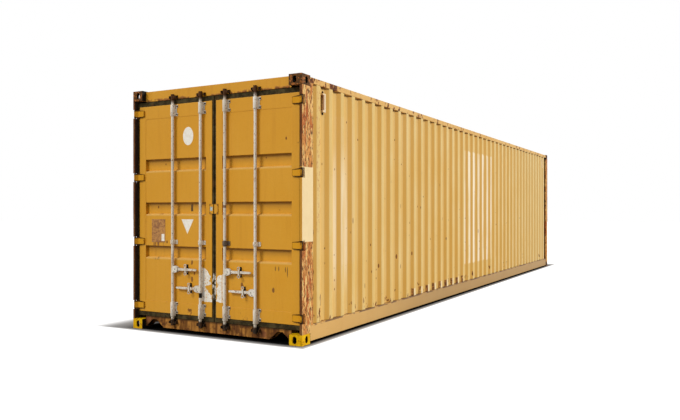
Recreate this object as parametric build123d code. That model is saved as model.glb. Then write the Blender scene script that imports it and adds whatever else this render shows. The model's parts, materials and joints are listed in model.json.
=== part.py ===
from build123d import *
import math
import os

# Forty-foot dry freight container. Millimetres, Z up, origin at the middle of the base.
# The cargo doors close the -Y end, and +X is to the right for someone who faces them.
# A "setback" is a distance from the end plane of the corner castings into the container.

# Envelope
length = 12192
width = 2438
height = 2896

# Corner castings
casting_length = 178
casting_width = 162
casting_height = 118
casting_wall = 28.5
casting_back_wall = 12
casting_corner_radius = 14
aperture_long = 79.5
aperture_short = 51
deck_aperture_long = 124
deck_aperture_short = 63.5
aperture_from_side = 89
aperture_from_end = 101.5

# Door end posts: a narrow lip in front of a wider body, with a pocket at each hinge
post_width = 60
post_lip = 29
post_lip_clearance = 8
post_setback = 8
post_wall = 8
post_flange = 58
hinge_pocket_depth = 56
hinge_lug = 14
pocket_clearance = 6

# Front end posts
front_post_width = 100
front_post_wall = 6

# Door header and sill
door_face_setback = 56
header_top_gap = 9
header_drop = 14
header_wall = 5
sill_bottom = 30
sill_wall = 6
stop_setback = 112
stop_thickness = 8
header_stop_drop = 64
notch_height = 92
notch_base = 282
notch_crown = 60
notch_from_casting = 6

# Side rails
rail_inset = 6
top_rail_size = 64
top_rail_gap = 12
top_rail_wall = 4
bottom_rail_bottom = 27
bottom_rail_height = 172
bottom_rail_flange = 50
bottom_rail_wall = 4.5

# Corrugated sheets
sheet = 2
wall_rib_outer = 72
wall_rib_inner = 70
wall_rib_slope = 68
wall_rib_depth = 36
wall_first_flat = 90
wall_inset = 8
front_rib_outer = 110
front_rib_inner = 104
front_rib_slope = 18
front_rib_depth = 45
front_wall_inset = 12
roof_rib_outer = 90
roof_rib_inner = 75
roof_rib_slope = 22
roof_rib_depth = 20
roof_gap = 18

# Base
cross_member_height = 122
cross_member_flange = 45
cross_member_wall = 4
cross_member_pitch = 300
cross_member_start = 350
floor_thickness = 28
floor_side_gap = 3.5
tunnel_width = 1029
tunnel_length = 3315
tunnel_plate = 5

# Ventilators, one in the first and last deep flute of each side wall
vent_width = 62
vent_depth = 28
vent_height = 212
vent_wall = 3
vent_below_top = 174
vent_side_slot = 150

# Door leaves
leaf_bottom = 210
leaf_top_gap = 58
leaf_side_gap = 32
leaf_centre_gap = 58
leaf_depth = 50
leaf_tube_wall = 4
stile_width = 90
outer_stile_width = 101
leaf_head = 156
leaf_foot = 136
panel_setback = 3
recess_height = 148
recess_slope = 14
recess_depth = 34
recess_middle = 1464
recess_pitch = 523
recess_count = 3

# Door gaskets
gasket_setback = 62
gasket_depth = 38
gasket_running_gap = 5
gasket_centre_gap = 12

# Hinges
hinge_lowest = 285
hinge_below_casting = 156
hinge_count = 4
hinge_height = 96
hinge_tip_height = 72
hinge_plate = 16
hinge_reach = 130
hinge_knee = 35
hinge_pin_radius = 10
hinge_barrel_radius = 14
hinge_pin_clearance = 0.4
hinge_pin_from_side = 16
hinge_pin_setback = 24

# Lock bars, two on each leaf
outer_bar_x = 600
inner_bar_x = 177
bar_radius = 17
bar_setback = 28
bar_clearance = 0.5
bar_bottom = 80
bar_top_gap = 78
collar_radius = 25

# Bar guides on the leaves
guide_plate = 6
guide_edge = 30
guide_reach = 60
guide_notch = 16
guide_ear_height = 36
top_guide_height = 134
top_guide_gap = 11
middle_guide_height = 50
middle_guide_z = 1067
middle_guide_reach = 56
bottom_guide_plate_height = 138
bottom_guide_gap = 5
bottom_guide_drop = 29

# Cams and keepers
cam_hub_radius = 22
cam_hub_height = 62
cam_nose_radius = 9
cam_nose_reach = 30
cam_nose_height = 28
cam_nose_from_end = 32
keeper_height = 44
keeper_half_gap = 45
keeper_cheek = 11
keeper_reach = 34

# Handles
upper_handle_z = 746
lower_handle_z = 529
upper_lug_offset = 155
lower_lug_offset = 118
handle_length = 306
handle_pivot_offset = 48
handle_height = 34
handle_tip_height = 24
handle_thickness = 15
handle_pin_radius = 7
handle_pin_clearance = 0.4
hub_ear = 6
hub_ear_gap = 2.5
hub_height = 80
hub_web_gap = 6
lug_width = 40
lug_height = 132
lug_waist = 20
lug_thickness = 7
lug_hole = 12

# Handle catches on the leaves
catch_width = 26
catch_height = 118
catch_plate = 5
catch_shelf = 14
catch_shelf_gap = 5
catch_front_gap = 5

# Seam plate, a half on each leaf
seam_plate_width = 56
seam_plate_height = 117
seam_plate_z = 1457
seam_plate_thickness = 6
seam_plate_gap = 14

# Places that follow from the sizes above
half_width = width / 2
half_length = length / 2
post_inner = half_width - post_width
lip_inner = half_width - post_lip
lip_depth = door_face_setback + leaf_depth + post_lip_clearance
casting_inner = half_width - casting_width
base_top = sill_bottom + cross_member_height
casting_bottom = height - casting_height
header_bottom = casting_bottom - header_drop
header_top = height - header_top_gap
rail_face = half_width - rail_inset
bottom_rail_top = bottom_rail_bottom + bottom_rail_height
top_rail_top = height - top_rail_gap
top_rail_bottom = top_rail_top - top_rail_size
rail_web_face = rail_face - bottom_rail_wall
wall_face = half_width - wall_inset
leaf_outer = lip_inner - leaf_side_gap
leaf_inner = leaf_centre_gap / 2
leaf_top = header_bottom - leaf_top_gap
panel_face = door_face_setback + panel_setback
pin_x = half_width - hinge_pin_from_side
hinge_pitch = (casting_bottom - hinge_below_casting - hinge_lowest) / (hinge_count - 1)
hinge_heights = [hinge_lowest + hinge_pitch * i for i in range(hinge_count)]
bar_top = height - bar_top_gap
cam_levels = (bar_bottom + cam_nose_from_end, bar_top - cam_nose_from_end)
left_bars = [-outer_bar_x, -inner_bar_x]
right_bars = [inner_bar_x, outer_bar_x]


def door_y(setback):
    """Y of a plane at a setback from the door end."""
    return setback - half_length


def front_y(setback):
    """Y of a plane at a setback from the closed front end."""
    return half_length - setback


def block(x0, x1, y0, y1, z0, z1):
    """Box between two corners."""
    centre = Pos((x0 + x1) / 2, (y0 + y1) / 2, (z0 + z1) / 2)
    return centre * Box(abs(x1 - x0), abs(y1 - y0), abs(z1 - z0))


def prism(points, direction, distance):
    """Closed outline of 3-D points, extruded along a direction."""
    return extrude(make_face(Polyline(*points, close=True)), amount=distance, dir=direction)


def upright(radius, x, y, z0, z1):
    """Vertical cylinder."""
    return Pos(x, y, (z0 + z1) / 2) * Cylinder(radius, z1 - z0)


def across(radius, x, z, y0, y1):
    """Cylinder along Y."""
    return Pos(x, (y0 + y1) / 2, z) * Rot(90, 0, 0) * Cylinder(radius, y1 - y0)


def mirrored(shape):
    """The same shape on the other side of the container."""
    return mirror(shape, about=Plane.YZ)


def save(name, *shapes):
    """Write one node: a single solid, or several that share it."""
    solids = [solid for shape in shapes for solid in shape.solids()]
    node = solids[0] if len(solids) == 1 else Compound(solids)
    export_step(node, f"parts/{name}.step")


def flutes(start, end, first_flat, outer, inner, slope, depth):
    """Points (along, depth) of a trapezoid corrugation that starts and ends on a deep flat."""
    pitch = outer + inner + 2 * slope
    count = int((end - start - first_flat) / pitch)
    points = [(start, depth)]
    for i in range(count):
        rise = start + first_flat + i * pitch
        points += [
            (rise, depth),
            (rise + slope, 0),
            (rise + slope + outer, 0),
            (rise + 2 * slope + outer, depth),
        ]
    points.append((end, depth))
    return points


def sheet_outline(points, thickness):
    """Closed outline of a pressed sheet, from its outer line and its thickness."""
    return points + [(along, depth + thickness) for along, depth in reversed(points)]


# Corner castings

def bottom_door_casting():
    """Right-hand bottom casting of the door end, hollow, with its three apertures."""
    outer_x = half_width
    end = door_y(0)
    body = block(casting_inner, outer_x, end, door_y(casting_length), 0, casting_height)
    corner = body.edges().filter_by(Axis.Z).sort_by(lambda edge: edge.center().X - edge.center().Y)[-1]
    body = fillet(corner, casting_corner_radius)
    body -= block(
        casting_inner + casting_back_wall,
        outer_x - casting_wall,
        door_y(casting_wall),
        door_y(casting_length - casting_back_wall),
        casting_wall,
        casting_height - casting_back_wall,
    )
    hole_x = outer_x - aperture_from_side
    hole_y = door_y(aperture_from_end)
    middle = casting_height / 2
    end_hole = Plane((hole_x, end, middle), x_dir=(0, 0, 1), z_dir=(0, 1, 0))
    side_hole = Plane((outer_x, hole_y, middle), x_dir=(0, 0, 1), z_dir=(-1, 0, 0))
    deck_hole = Plane((hole_x, hole_y, 0), x_dir=(0, 1, 0), z_dir=(0, 0, 1))
    reach = casting_wall + 1
    body -= extrude(end_hole * SlotOverall(aperture_long, aperture_short), amount=reach)
    body -= extrude(side_hole * SlotOverall(aperture_long, aperture_short), amount=reach)
    body -= extrude(deck_hole * SlotOverall(deck_aperture_long, deck_aperture_short), amount=reach)
    return body


def save_castings():
    """Eight castings as four mirrored pairs."""
    bottom = bottom_door_casting()
    top = mirror(bottom, about=Plane.XY.offset(height / 2))
    for level, casting in (("bottom", bottom), ("top", top)):
        front = mirror(casting, about=Plane.XZ)
        save(f"castings_{level}_doors", casting, mirrored(casting))
        save(f"castings_{level}_front", front, mirrored(front))


# End frames

def door_post():
    """Right-hand post of the door end: a stepped tube with a side flange, hinge pockets and lugs."""
    y0 = door_y(post_setback)
    step = door_y(lip_depth)
    y1 = door_y(casting_length)
    z0 = casting_height
    z1 = casting_bottom
    wall = post_wall
    outline = [
        (half_width, y0, z0),
        (half_width, y1, z0),
        (post_inner, y1, z0),
        (post_inner, step, z0),
        (lip_inner, step, z0),
        (lip_inner, y0, z0),
    ]
    hollow = [
        (half_width - wall, y0 + wall, z0),
        (half_width - wall, y1 - wall, z0),
        (post_inner + wall, y1 - wall, z0),
        (post_inner + wall, step + wall, z0),
        (lip_inner + wall, step + wall, z0),
        (lip_inner + wall, y0 + wall, z0),
    ]
    post = prism(outline, (0, 0, 1), z1 - z0) - prism(hollow, (0, 0, 1), z1 - z0)
    post += block(
        half_width - wall, half_width, y1, y1 + post_flange, bottom_rail_top, top_rail_bottom
    )
    pocket_back = y0 + hinge_pocket_depth
    half_pocket = hinge_height / 2 + pocket_clearance
    for z in hinge_heights:
        half_lug = half_pocket + hinge_lug
        lug_block = block(lip_inner, half_width, y0, pocket_back + wall, z - half_lug, z + half_lug)
        pocket = block(
            lip_inner,
            half_width,
            y0,
            pocket_back,
            z - half_pocket,
            z + half_pocket,
        )
        hole = upright(hinge_pin_radius, pin_x, door_y(hinge_pin_setback), z - half_lug, z + half_lug)
        post = post + lug_block - pocket - hole
    return post


def hinge_pins():
    """Pins through the lugs of the right-hand post."""
    reach = hinge_height / 2 + pocket_clearance + hinge_lug
    radius = hinge_pin_radius - hinge_pin_clearance
    y = door_y(hinge_pin_setback)
    return [upright(radius, pin_x, y, z - reach, z + reach) for z in hinge_heights]


def front_post():
    """Right-hand post of the front end, a plain tube."""
    inner = half_width - front_post_width
    y0 = front_y(casting_length)
    y1 = front_y(0)
    wall = front_post_wall
    z0 = casting_height
    z1 = casting_bottom
    post = block(inner, half_width, y0, y1, z0, z1)
    post -= block(inner + wall, half_width - wall, y0 + wall, y1 - wall, z0, z1)
    return post


def box_tube(x_reach, y0, y1, z0, z1, wall):
    """Rectangular tube across the container, open at its ends."""
    tube = block(-x_reach, x_reach, y0, y1, z0, z1)
    return tube - block(-x_reach, x_reach, y0 + wall, y1 - wall, z0 + wall, z1 - wall)


def door_header():
    """Header tube between the top castings, with the stop plate that the leaves close against."""
    tube = box_tube(
        casting_inner,
        door_y(door_face_setback),
        door_y(casting_length),
        header_bottom,
        header_top,
        header_wall,
    )
    stop = block(
        -post_inner,
        post_inner,
        door_y(stop_setback),
        door_y(stop_setback + stop_thickness),
        header_bottom - header_stop_drop,
        header_bottom,
    )
    return tube + stop


def door_sill():
    """Sill tube between the bottom castings, with an arched notch beside each casting."""
    y0 = door_y(door_face_setback)
    y1 = door_y(casting_length)
    sill = box_tube(casting_inner, y0, y1, sill_bottom, base_top, sill_wall)
    outer = casting_inner - notch_from_casting
    middle = outer - notch_base / 2
    top = sill_bottom + notch_height
    outline = [
        (outer, y0, sill_bottom),
        (middle + notch_crown / 2, y0, top),
        (middle - notch_crown / 2, y0, top),
        (outer - notch_base, y0, sill_bottom),
    ]
    notch = prism(outline, (0, 1, 0), y1 - y0)
    return sill - notch - mirrored(notch)


def front_top_rail():
    """Tube between the top castings of the front end."""
    return box_tube(
        casting_inner,
        front_y(casting_length),
        front_y(post_setback),
        casting_bottom,
        header_top,
        header_wall,
    )


def front_bottom_rail():
    """Tube between the bottom castings of the front end, cut out for the gooseneck tunnel."""
    y0 = front_y(casting_length)
    y1 = front_y(post_setback)
    rail = box_tube(casting_inner, y0, y1, sill_bottom, base_top, sill_wall)
    half_cut = tunnel_width / 2 + tunnel_plate
    return rail - block(-half_cut, half_cut, y0, y1, sill_bottom, base_top - tunnel_plate)


# Side rails and walls

def top_side_rail():
    """Right-hand square tube between the top castings."""
    y0 = door_y(casting_length)
    y1 = front_y(casting_length)
    x0 = rail_face - top_rail_size
    wall = top_rail_wall
    tube = block(x0, rail_face, y0, y1, top_rail_bottom, top_rail_top)
    return tube - block(
        x0 + wall, rail_face - wall, y0, y1, top_rail_bottom + wall, top_rail_top - wall
    )


def bottom_side_rail():
    """Right-hand channel between the bottom castings, its flanges pointing inwards."""
    y0 = door_y(casting_length)
    x0 = rail_face - bottom_rail_flange
    z0 = bottom_rail_bottom
    z1 = bottom_rail_top
    wall = bottom_rail_wall
    outline = [
        (rail_face, y0, z0),
        (rail_face, y0, z1),
        (x0, y0, z1),
        (x0, y0, z1 - wall),
        (rail_web_face, y0, z1 - wall),
        (rail_web_face, y0, z0 + wall),
        (x0, y0, z0 + wall),
        (x0, y0, z0),
    ]
    return prism(outline, (0, 1, 0), length - 2 * casting_length)


def side_wall_line():
    """Outer line of a side wall as (Y, depth) points."""
    return flutes(
        door_y(casting_length),
        front_y(casting_length),
        wall_first_flat,
        wall_rib_outer,
        wall_rib_inner,
        wall_rib_slope,
        wall_rib_depth,
    )


def side_wall():
    """Right-hand wall sheet with upright flutes."""
    outline = sheet_outline(side_wall_line(), sheet)
    points = [(wall_face - depth, y, bottom_rail_top) for y, depth in outline]
    return prism(points, (0, 0, 1), top_rail_bottom - bottom_rail_top)


def front_wall():
    """End wall sheet with upright flutes, between the front posts."""
    reach = half_width - front_post_width
    line = flutes(
        -reach,
        reach,
        front_rib_inner / 2,
        front_rib_outer,
        front_rib_inner,
        front_rib_slope,
        front_rib_depth,
    )
    outline = sheet_outline(line, sheet)
    points = [(x, front_y(front_wall_inset + depth), base_top) for x, depth in outline]
    return prism(points, (0, 0, 1), casting_bottom - base_top)


def roof():
    """Roof sheet with flutes across the container, between the top side rails."""
    y0 = door_y(casting_length)
    y1 = front_y(casting_length)
    line = flutes(
        y0, y1, roof_rib_inner, roof_rib_outer, roof_rib_inner, roof_rib_slope, roof_rib_depth
    )
    outline = sheet_outline(line, sheet)
    reach = rail_face - top_rail_size
    points = [(-reach, y, height - roof_gap - depth) for y, depth in outline]
    return prism(points, (1, 0, 0), 2 * reach)


# Base

def floor_board():
    """Plywood floor, narrower between the door posts."""
    z = base_top
    wide = rail_web_face - floor_side_gap
    narrow = post_inner
    y0 = door_y(stop_setback + stop_thickness)
    y1 = door_y(casting_length)
    y2 = front_y(casting_length)
    half = [(narrow, y0, z), (narrow, y1, z), (wide, y1, z), (wide, y2, z)]
    outline = half + [(-x, y, z) for x, y, z in reversed(half)]
    return prism(outline, (0, 0, 1), floor_thickness)


def cross_member(x0, x1, y):
    """Channel under the floor from x0 to x1, its web at y, coped over the rail's lower flange."""
    z0 = sill_bottom
    z1 = base_top
    wall = cross_member_wall
    flange = cross_member_flange
    outline = [
        (x0, y, z0),
        (x0, y, z1),
        (x0, y + flange, z1),
        (x0, y + flange, z1 - wall),
        (x0, y + wall, z1 - wall),
        (x0, y + wall, z0 + wall),
        (x0, y + flange, z0 + wall),
        (x0, y + flange, z0),
    ]
    member = prism(outline, (1, 0, 0), x1 - x0)
    cope_x = rail_face - bottom_rail_flange
    cope_z = bottom_rail_bottom + bottom_rail_wall
    for x in (x0, x1):
        if abs(x) > cope_x:
            edge = math.copysign(cope_x, x)
            member -= block(edge, x, y, y + flange, z0, cope_z)
    return member


def cross_members():
    """Whole members behind the doors, and short ones on both sides of the tunnel."""
    members = []
    tunnel_start = front_y(tunnel_length)
    tunnel_side = tunnel_width / 2 + tunnel_plate
    rail_inside = rail_web_face
    y = door_y(cross_member_start)
    while y + cross_member_flange < front_y(casting_length):
        if y + cross_member_flange < tunnel_start:
            members.append(cross_member(-rail_inside, rail_inside, y))
        elif y > tunnel_start + tunnel_plate:
            members.append(cross_member(tunnel_side, rail_inside, y))
            members.append(cross_member(-rail_inside, -tunnel_side, y))
        y += cross_member_pitch
    return members


def gooseneck_tunnel():
    """Plate and side webs of the tunnel under the front of the floor."""
    y0 = front_y(tunnel_length)
    y1 = front_y(post_setback)
    half = tunnel_width / 2
    side = half + tunnel_plate
    z0 = sill_bottom
    z1 = base_top - tunnel_plate
    top = block(-side, side, y0, y1, z1 - tunnel_plate, z1)
    web = block(half, side, y0, y1, z0, z1)
    closing = block(-side, side, y0, y0 + tunnel_plate, z0, z1)
    packing = block(-side, side, y0, front_y(casting_length), z1, base_top)
    return top + web + mirrored(web) + closing + packing


def ventilators():
    """Small hoods in the deep flutes near both ends of both side walls, slotted at their sides."""
    pitch = wall_rib_outer + wall_rib_inner + 2 * wall_rib_slope
    first = door_y(casting_length) + wall_first_flat + pitch - wall_rib_inner / 2
    ribs = int((length - 2 * casting_length - wall_first_flat) / pitch)
    x0 = wall_face - wall_rib_depth
    z1 = top_rail_bottom - vent_below_top + vent_height / 2
    boxes = []
    for y in (first, first + (ribs - 2) * pitch):
        box = block(
            x0, x0 + vent_depth, y - vent_width / 2, y + vent_width / 2, z1 - vent_height, z1
        )
        box -= block(
            x0,
            x0 + vent_depth - vent_wall,
            y - vent_width / 2 + vent_wall,
            y + vent_width / 2 - vent_wall,
            z1 - vent_height + vent_wall,
            z1 - vent_wall,
        )
        middle = z1 - vent_height / 2
        box -= block(
            x0 + vent_wall,
            x0 + vent_depth - vent_wall,
            y - vent_width / 2,
            y + vent_width / 2,
            middle - vent_side_slot / 2,
            middle + vent_side_slot / 2,
        )
        boxes += [box, mirrored(box)]
    return boxes


# Door leaves, built for the right-hand door

def leaf_frame():
    """Welded tube frame of a leaf. The stiles are open at their ends."""
    y0 = door_y(door_face_setback)
    y1 = y0 + leaf_depth
    wall = leaf_tube_wall
    x_in = leaf_inner + stile_width
    x_out = leaf_outer - outer_stile_width
    z_foot = leaf_bottom + leaf_foot
    z_head = leaf_top - leaf_head
    frame = block(leaf_inner, leaf_outer, y0, y1, leaf_bottom, leaf_top)
    frame -= block(x_in, x_out, y0, y1, z_foot, z_head)
    for x0, x1 in ((leaf_inner, x_in), (x_out, leaf_outer)):
        frame -= block(x0 + wall, x1 - wall, y0 + wall, y1 - wall, leaf_bottom, leaf_top)
    for z0, z1 in ((leaf_bottom, z_foot), (z_head, leaf_top)):
        frame -= block(
            leaf_inner + wall, leaf_outer - wall, y0 + wall, y1 - wall, z0 + wall, z1 - wall
        )
    return frame


def leaf_panel():
    """Pressed door sheet with level recesses, between the stiles."""
    x0 = leaf_inner + stile_width
    x1 = leaf_outer - outer_stile_width
    z0 = leaf_bottom + leaf_foot
    z1 = leaf_top - leaf_head
    lowest = recess_middle - recess_pitch * (recess_count - 1) / 2
    line = [(z0, 0)]
    for i in range(recess_count):
        z = lowest + i * recess_pitch
        mouth = recess_height / 2
        bed = mouth - recess_slope
        line += [(z - mouth, 0), (z - bed, recess_depth), (z + bed, recess_depth), (z + mouth, 0)]
    line.append((z1, 0))
    outline = sheet_outline(line, sheet)
    points = [(x0, door_y(panel_face + depth), z) for z, depth in outline]
    return prism(points, (1, 0, 0), x1 - x0)


def leaf_gasket():
    """Rubber seal round the edge of a leaf."""
    y0 = door_y(gasket_setback)
    y1 = y0 + gasket_depth
    gap = gasket_running_gap
    ring = block(
        gasket_centre_gap / 2,
        lip_inner - gap,
        y0,
        y1,
        base_top + gap,
        header_bottom - gap,
    )
    return ring - block(leaf_inner, leaf_outer, y0, y1, leaf_bottom, leaf_top)


def hinge_blades():
    """Forged blades that carry a leaf: a barrel on the pin, a knee, and a tapered strap."""
    pin_y = door_y(hinge_pin_setback)
    strap_back = door_y(door_face_setback)
    strap_front = strap_back - hinge_plate
    tip = pin_x - hinge_reach
    knee = pin_x - hinge_knee
    diagonal = hinge_barrel_radius * math.sqrt(0.5)
    blades = []
    for z in hinge_heights:
        z0 = z - hinge_height / 2
        outline = [
            (pin_x - diagonal, pin_y - diagonal, z0),
            (knee, strap_front, z0),
            (tip, strap_front, z0),
            (tip, strap_back, z0),
            (knee + hinge_plate, strap_back, z0),
            (pin_x, pin_y + hinge_barrel_radius, z0),
        ]
        blade = prism(outline, (0, 0, 1), hinge_height)
        blade += upright(hinge_barrel_radius, pin_x, pin_y, z0, z0 + hinge_height)
        blade -= upright(hinge_pin_radius, pin_x, pin_y, z0, z0 + hinge_height)
        taper = (hinge_height - hinge_tip_height) / 2
        for side in (-1, 1):
            edge = z + side * hinge_height / 2
            wedge = [
                (tip, strap_front, edge),
                (knee, strap_front, edge),
                (tip, strap_front, edge - side * taper),
            ]
            blade -= prism(wedge, (0, 1, 0), hinge_plate)
        blades.append(blade)
    return blades


def guide(bar_x, z0, z1, plate_z0, plate_z1, reach, seat):
    """Bar guide: a strap round the bar and a bolted plate with two ears, seated at a setback."""
    bar_y = door_y(bar_setback)
    seat_y = door_y(seat)
    strap = upright(collar_radius, bar_x, bar_y, z0, z1)
    strap += block(bar_x - collar_radius, bar_x + collar_radius, bar_y, seat_y, z0, z1)
    strap += block(
        bar_x - guide_edge, bar_x + reach, seat_y - guide_plate, seat_y, plate_z0, plate_z1
    )
    if plate_z1 - plate_z0 > 2 * guide_ear_height:
        strap -= block(
            bar_x + reach - guide_notch,
            bar_x + reach,
            seat_y - guide_plate,
            seat_y,
            plate_z0 + guide_ear_height,
            plate_z1 - guide_ear_height,
        )
    return strap - upright(bar_radius + bar_clearance, bar_x, bar_y, z0, z1)


def catch(x, z):
    """Handle catch: a back plate and a shelf under the handle, open to the front."""
    seat_y = door_y(panel_face)
    plate_y = seat_y - catch_plate
    front_edge = door_y(bar_setback - handle_thickness / 2 + catch_front_gap)
    shelf_top = z - handle_height / 2 - catch_shelf_gap
    plate = block(
        x - catch_width / 2,
        x + catch_width / 2,
        plate_y,
        seat_y,
        z - catch_height / 2,
        z + catch_height / 2,
    )
    shelf = block(
        x - catch_width / 4, x + catch_width / 4, front_edge, plate_y, shelf_top - catch_shelf, shelf_top
    )
    return plate + shelf


def seam_plate():
    """Half of the plate over the seam, on the right-hand leaf."""
    seat_y = door_y(door_face_setback)
    return block(
        seam_plate_gap / 2,
        seam_plate_gap / 2 + seam_plate_width,
        seat_y - seam_plate_thickness,
        seat_y,
        seam_plate_z - seam_plate_height / 2,
        seam_plate_z + seam_plate_height / 2,
    )


def leaf_fittings(bars, locks):
    """Guides of the two bars of a leaf and the catches of its two handles."""
    pieces = []
    for x in bars:
        top = leaf_top - top_guide_gap
        pieces.append(
            guide(x, top - top_guide_height, top, top - top_guide_height, top, guide_reach, door_face_setback)
        )
        middle = middle_guide_height / 2
        pieces.append(
            guide(
                x,
                middle_guide_z - middle,
                middle_guide_z + middle,
                middle_guide_z - middle,
                middle_guide_z + middle,
                middle_guide_reach,
                panel_face,
            )
        )
        foot = leaf_bottom + bottom_guide_gap
        head = foot + bottom_guide_plate_height
        pieces.append(
            guide(x, foot - bottom_guide_drop, head, foot, head, guide_reach, door_face_setback)
        )
    for bar_x, side, z, lug_offset in locks:
        pieces.append(catch(bar_x + side * (handle_pivot_offset + lug_offset), z))
    return pieces


# Lock bars and handles

def cam(bar_x, side, z0, nose_z):
    """Cam forging at one end of a bar: a hub with a nose that points to one side."""
    bar_y = door_y(bar_setback)
    hub = upright(cam_hub_radius, bar_x, bar_y, z0, z0 + cam_hub_height)
    nose_z0 = nose_z - cam_nose_height / 2
    nose_z1 = nose_z + cam_nose_height / 2
    tip_x = bar_x + side * cam_nose_reach
    nose = block(bar_x, tip_x, bar_y - cam_nose_radius, bar_y + cam_nose_radius, nose_z0, nose_z1)
    return hub + nose + upright(cam_nose_radius, tip_x, bar_y, nose_z0, nose_z1)


def lock_bar(bar_x, side, handle_z):
    """Bar with its two cams and the forked hub that carries the handle."""
    bar_y = door_y(bar_setback)
    bar = upright(bar_radius, bar_x, bar_y, bar_bottom, bar_top)
    low_nose, high_nose = cam_levels
    bar += cam(bar_x, side, bar_bottom, low_nose)
    bar += cam(bar_x, side, bar_top - cam_hub_height, high_nose)
    pivot_x = bar_x + side * handle_pivot_offset
    half_slot = handle_thickness / 2 + hub_ear_gap
    half_depth = half_slot + hub_ear
    z0 = handle_z - hub_height / 2
    z1 = handle_z + hub_height / 2
    hub = block(bar_x, pivot_x, bar_y - half_depth, bar_y + half_depth, z0, z1)
    hub += across(hub_height / 2, pivot_x, handle_z, bar_y - half_depth, bar_y + half_depth)
    swing = handle_height / 2 + hub_web_gap
    slot_start = pivot_x - side * swing
    slot_end = pivot_x + side * hub_height
    hub -= block(slot_start, slot_end, bar_y - half_slot, bar_y + half_slot, z0, z1)
    hub += across(handle_pin_radius, pivot_x, handle_z, bar_y - half_depth, bar_y + half_depth)
    return bar + hub


def lock_handle(bar_x, side, z, lug_offset):
    """Handle lever with its eye on the hub's pin, and the seal lug welded to its front."""
    bar_y = door_y(bar_setback)
    pivot_x = bar_x + side * handle_pivot_offset
    y0 = bar_y - handle_thickness / 2
    y1 = bar_y + handle_thickness / 2
    tip_x = pivot_x + side * handle_length
    outline = [
        (pivot_x, y0, z - handle_height / 2),
        (tip_x, y0, z - handle_tip_height / 2),
        (tip_x, y0, z + handle_tip_height / 2),
        (pivot_x, y0, z + handle_height / 2),
    ]
    lever = prism(outline, (0, 1, 0), handle_thickness)
    lever += across(handle_height / 2, pivot_x, z, y0, y1)
    lever += across(handle_tip_height / 2, tip_x, z, y0, y1)
    lug_x = pivot_x + side * lug_offset
    lug_y = y0 - lug_thickness
    half_lug = lug_height / 2 - lug_width / 2
    lug = block(lug_x - lug_waist / 2, lug_x + lug_waist / 2, lug_y, y0, z - half_lug, z + half_lug)
    for end in (z - half_lug, z + half_lug):
        lug += across(lug_width / 2, lug_x, end, lug_y, y0)
    for end in (z - half_lug, z + half_lug):
        lug -= across(lug_hole, lug_x, end, lug_y, y0)
    lever -= across(handle_pin_radius + handle_pin_clearance, pivot_x, z, y0, y1)
    return [lever, lug]


def keepers():
    """Cheeks on the header and sill on both sides of each cam, open to the front."""
    seat_y = door_y(door_face_setback)
    front_edge = seat_y - keeper_reach
    pieces = []
    for bar_x in left_bars + right_bars:
        for z in cam_levels:
            z0 = z - keeper_height / 2
            z1 = z + keeper_height / 2
            for side in (-1, 1):
                inner = bar_x + side * keeper_half_gap
                outline = [
                    (inner, seat_y, z0),
                    (inner, front_edge, z0 + keeper_height / 5),
                    (inner, front_edge, z1 - keeper_height / 5),
                    (inner, seat_y, z1),
                ]
                pieces.append(prism(outline, (side, 0, 0), keeper_cheek))
    return pieces


os.makedirs("parts", exist_ok=True)

save_castings()

post = door_post()
save("door_post_right", post)
save("door_post_left", mirrored(post))
pins = hinge_pins()
save("hinge_pins", *pins, *[mirrored(pin) for pin in pins])
corner_post = front_post()
save("front_post_right", corner_post)
save("front_post_left", mirrored(corner_post))
save("door_header", door_header())
save("door_sill", door_sill())
save("front_top_rail", front_top_rail())
save("front_bottom_rail", front_bottom_rail())

for name, piece in (
    ("top_side_rail", top_side_rail()),
    ("bottom_side_rail", bottom_side_rail()),
    ("side_wall", side_wall()),
):
    save(f"{name}_right", piece)
    save(f"{name}_left", mirrored(piece))

save("front_wall", front_wall())
save("roof", roof())
save("floor", floor_board())
save("cross_members", *cross_members())
save("gooseneck_tunnel", gooseneck_tunnel())
save("ventilators", *ventilators())
save("cam_keepers", *keepers())

blades = hinge_blades()
for name, pieces in (
    ("frame", [leaf_frame()]),
    ("panel", [leaf_panel()]),
    ("gasket", [leaf_gasket()]),
    ("hinge_blades", blades),
    ("seam_plate", [seam_plate()]),
):
    save(f"door_right_{name}", *pieces)
    save(f"door_left_{name}", *[mirrored(piece) for piece in pieces])

# Each lock: its bar's place, the side that its handle points to, the handle's height and the
# distance from the handle's pivot to its seal lug
left_locks = [
    (-outer_bar_x, 1, upper_handle_z, upper_lug_offset),
    (-inner_bar_x, -1, lower_handle_z, lower_lug_offset),
]
right_locks = [
    (inner_bar_x, 1, upper_handle_z, upper_lug_offset),
    (outer_bar_x, -1, lower_handle_z, lower_lug_offset),
]
save("door_left_fittings", *leaf_fittings(left_bars, left_locks))
save("door_right_fittings", *leaf_fittings(right_bars, right_locks))
for number, lock in enumerate(left_locks + right_locks, start=1):
    bar_x, side, handle_z, _ = lock
    save(f"lock_bar_{number}", lock_bar(bar_x, side, handle_z))
    save(f"lock_handle_{number}", *lock_handle(*lock))
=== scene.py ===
import json
import math

import bmesh
import bpy
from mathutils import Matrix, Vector, noise


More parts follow.
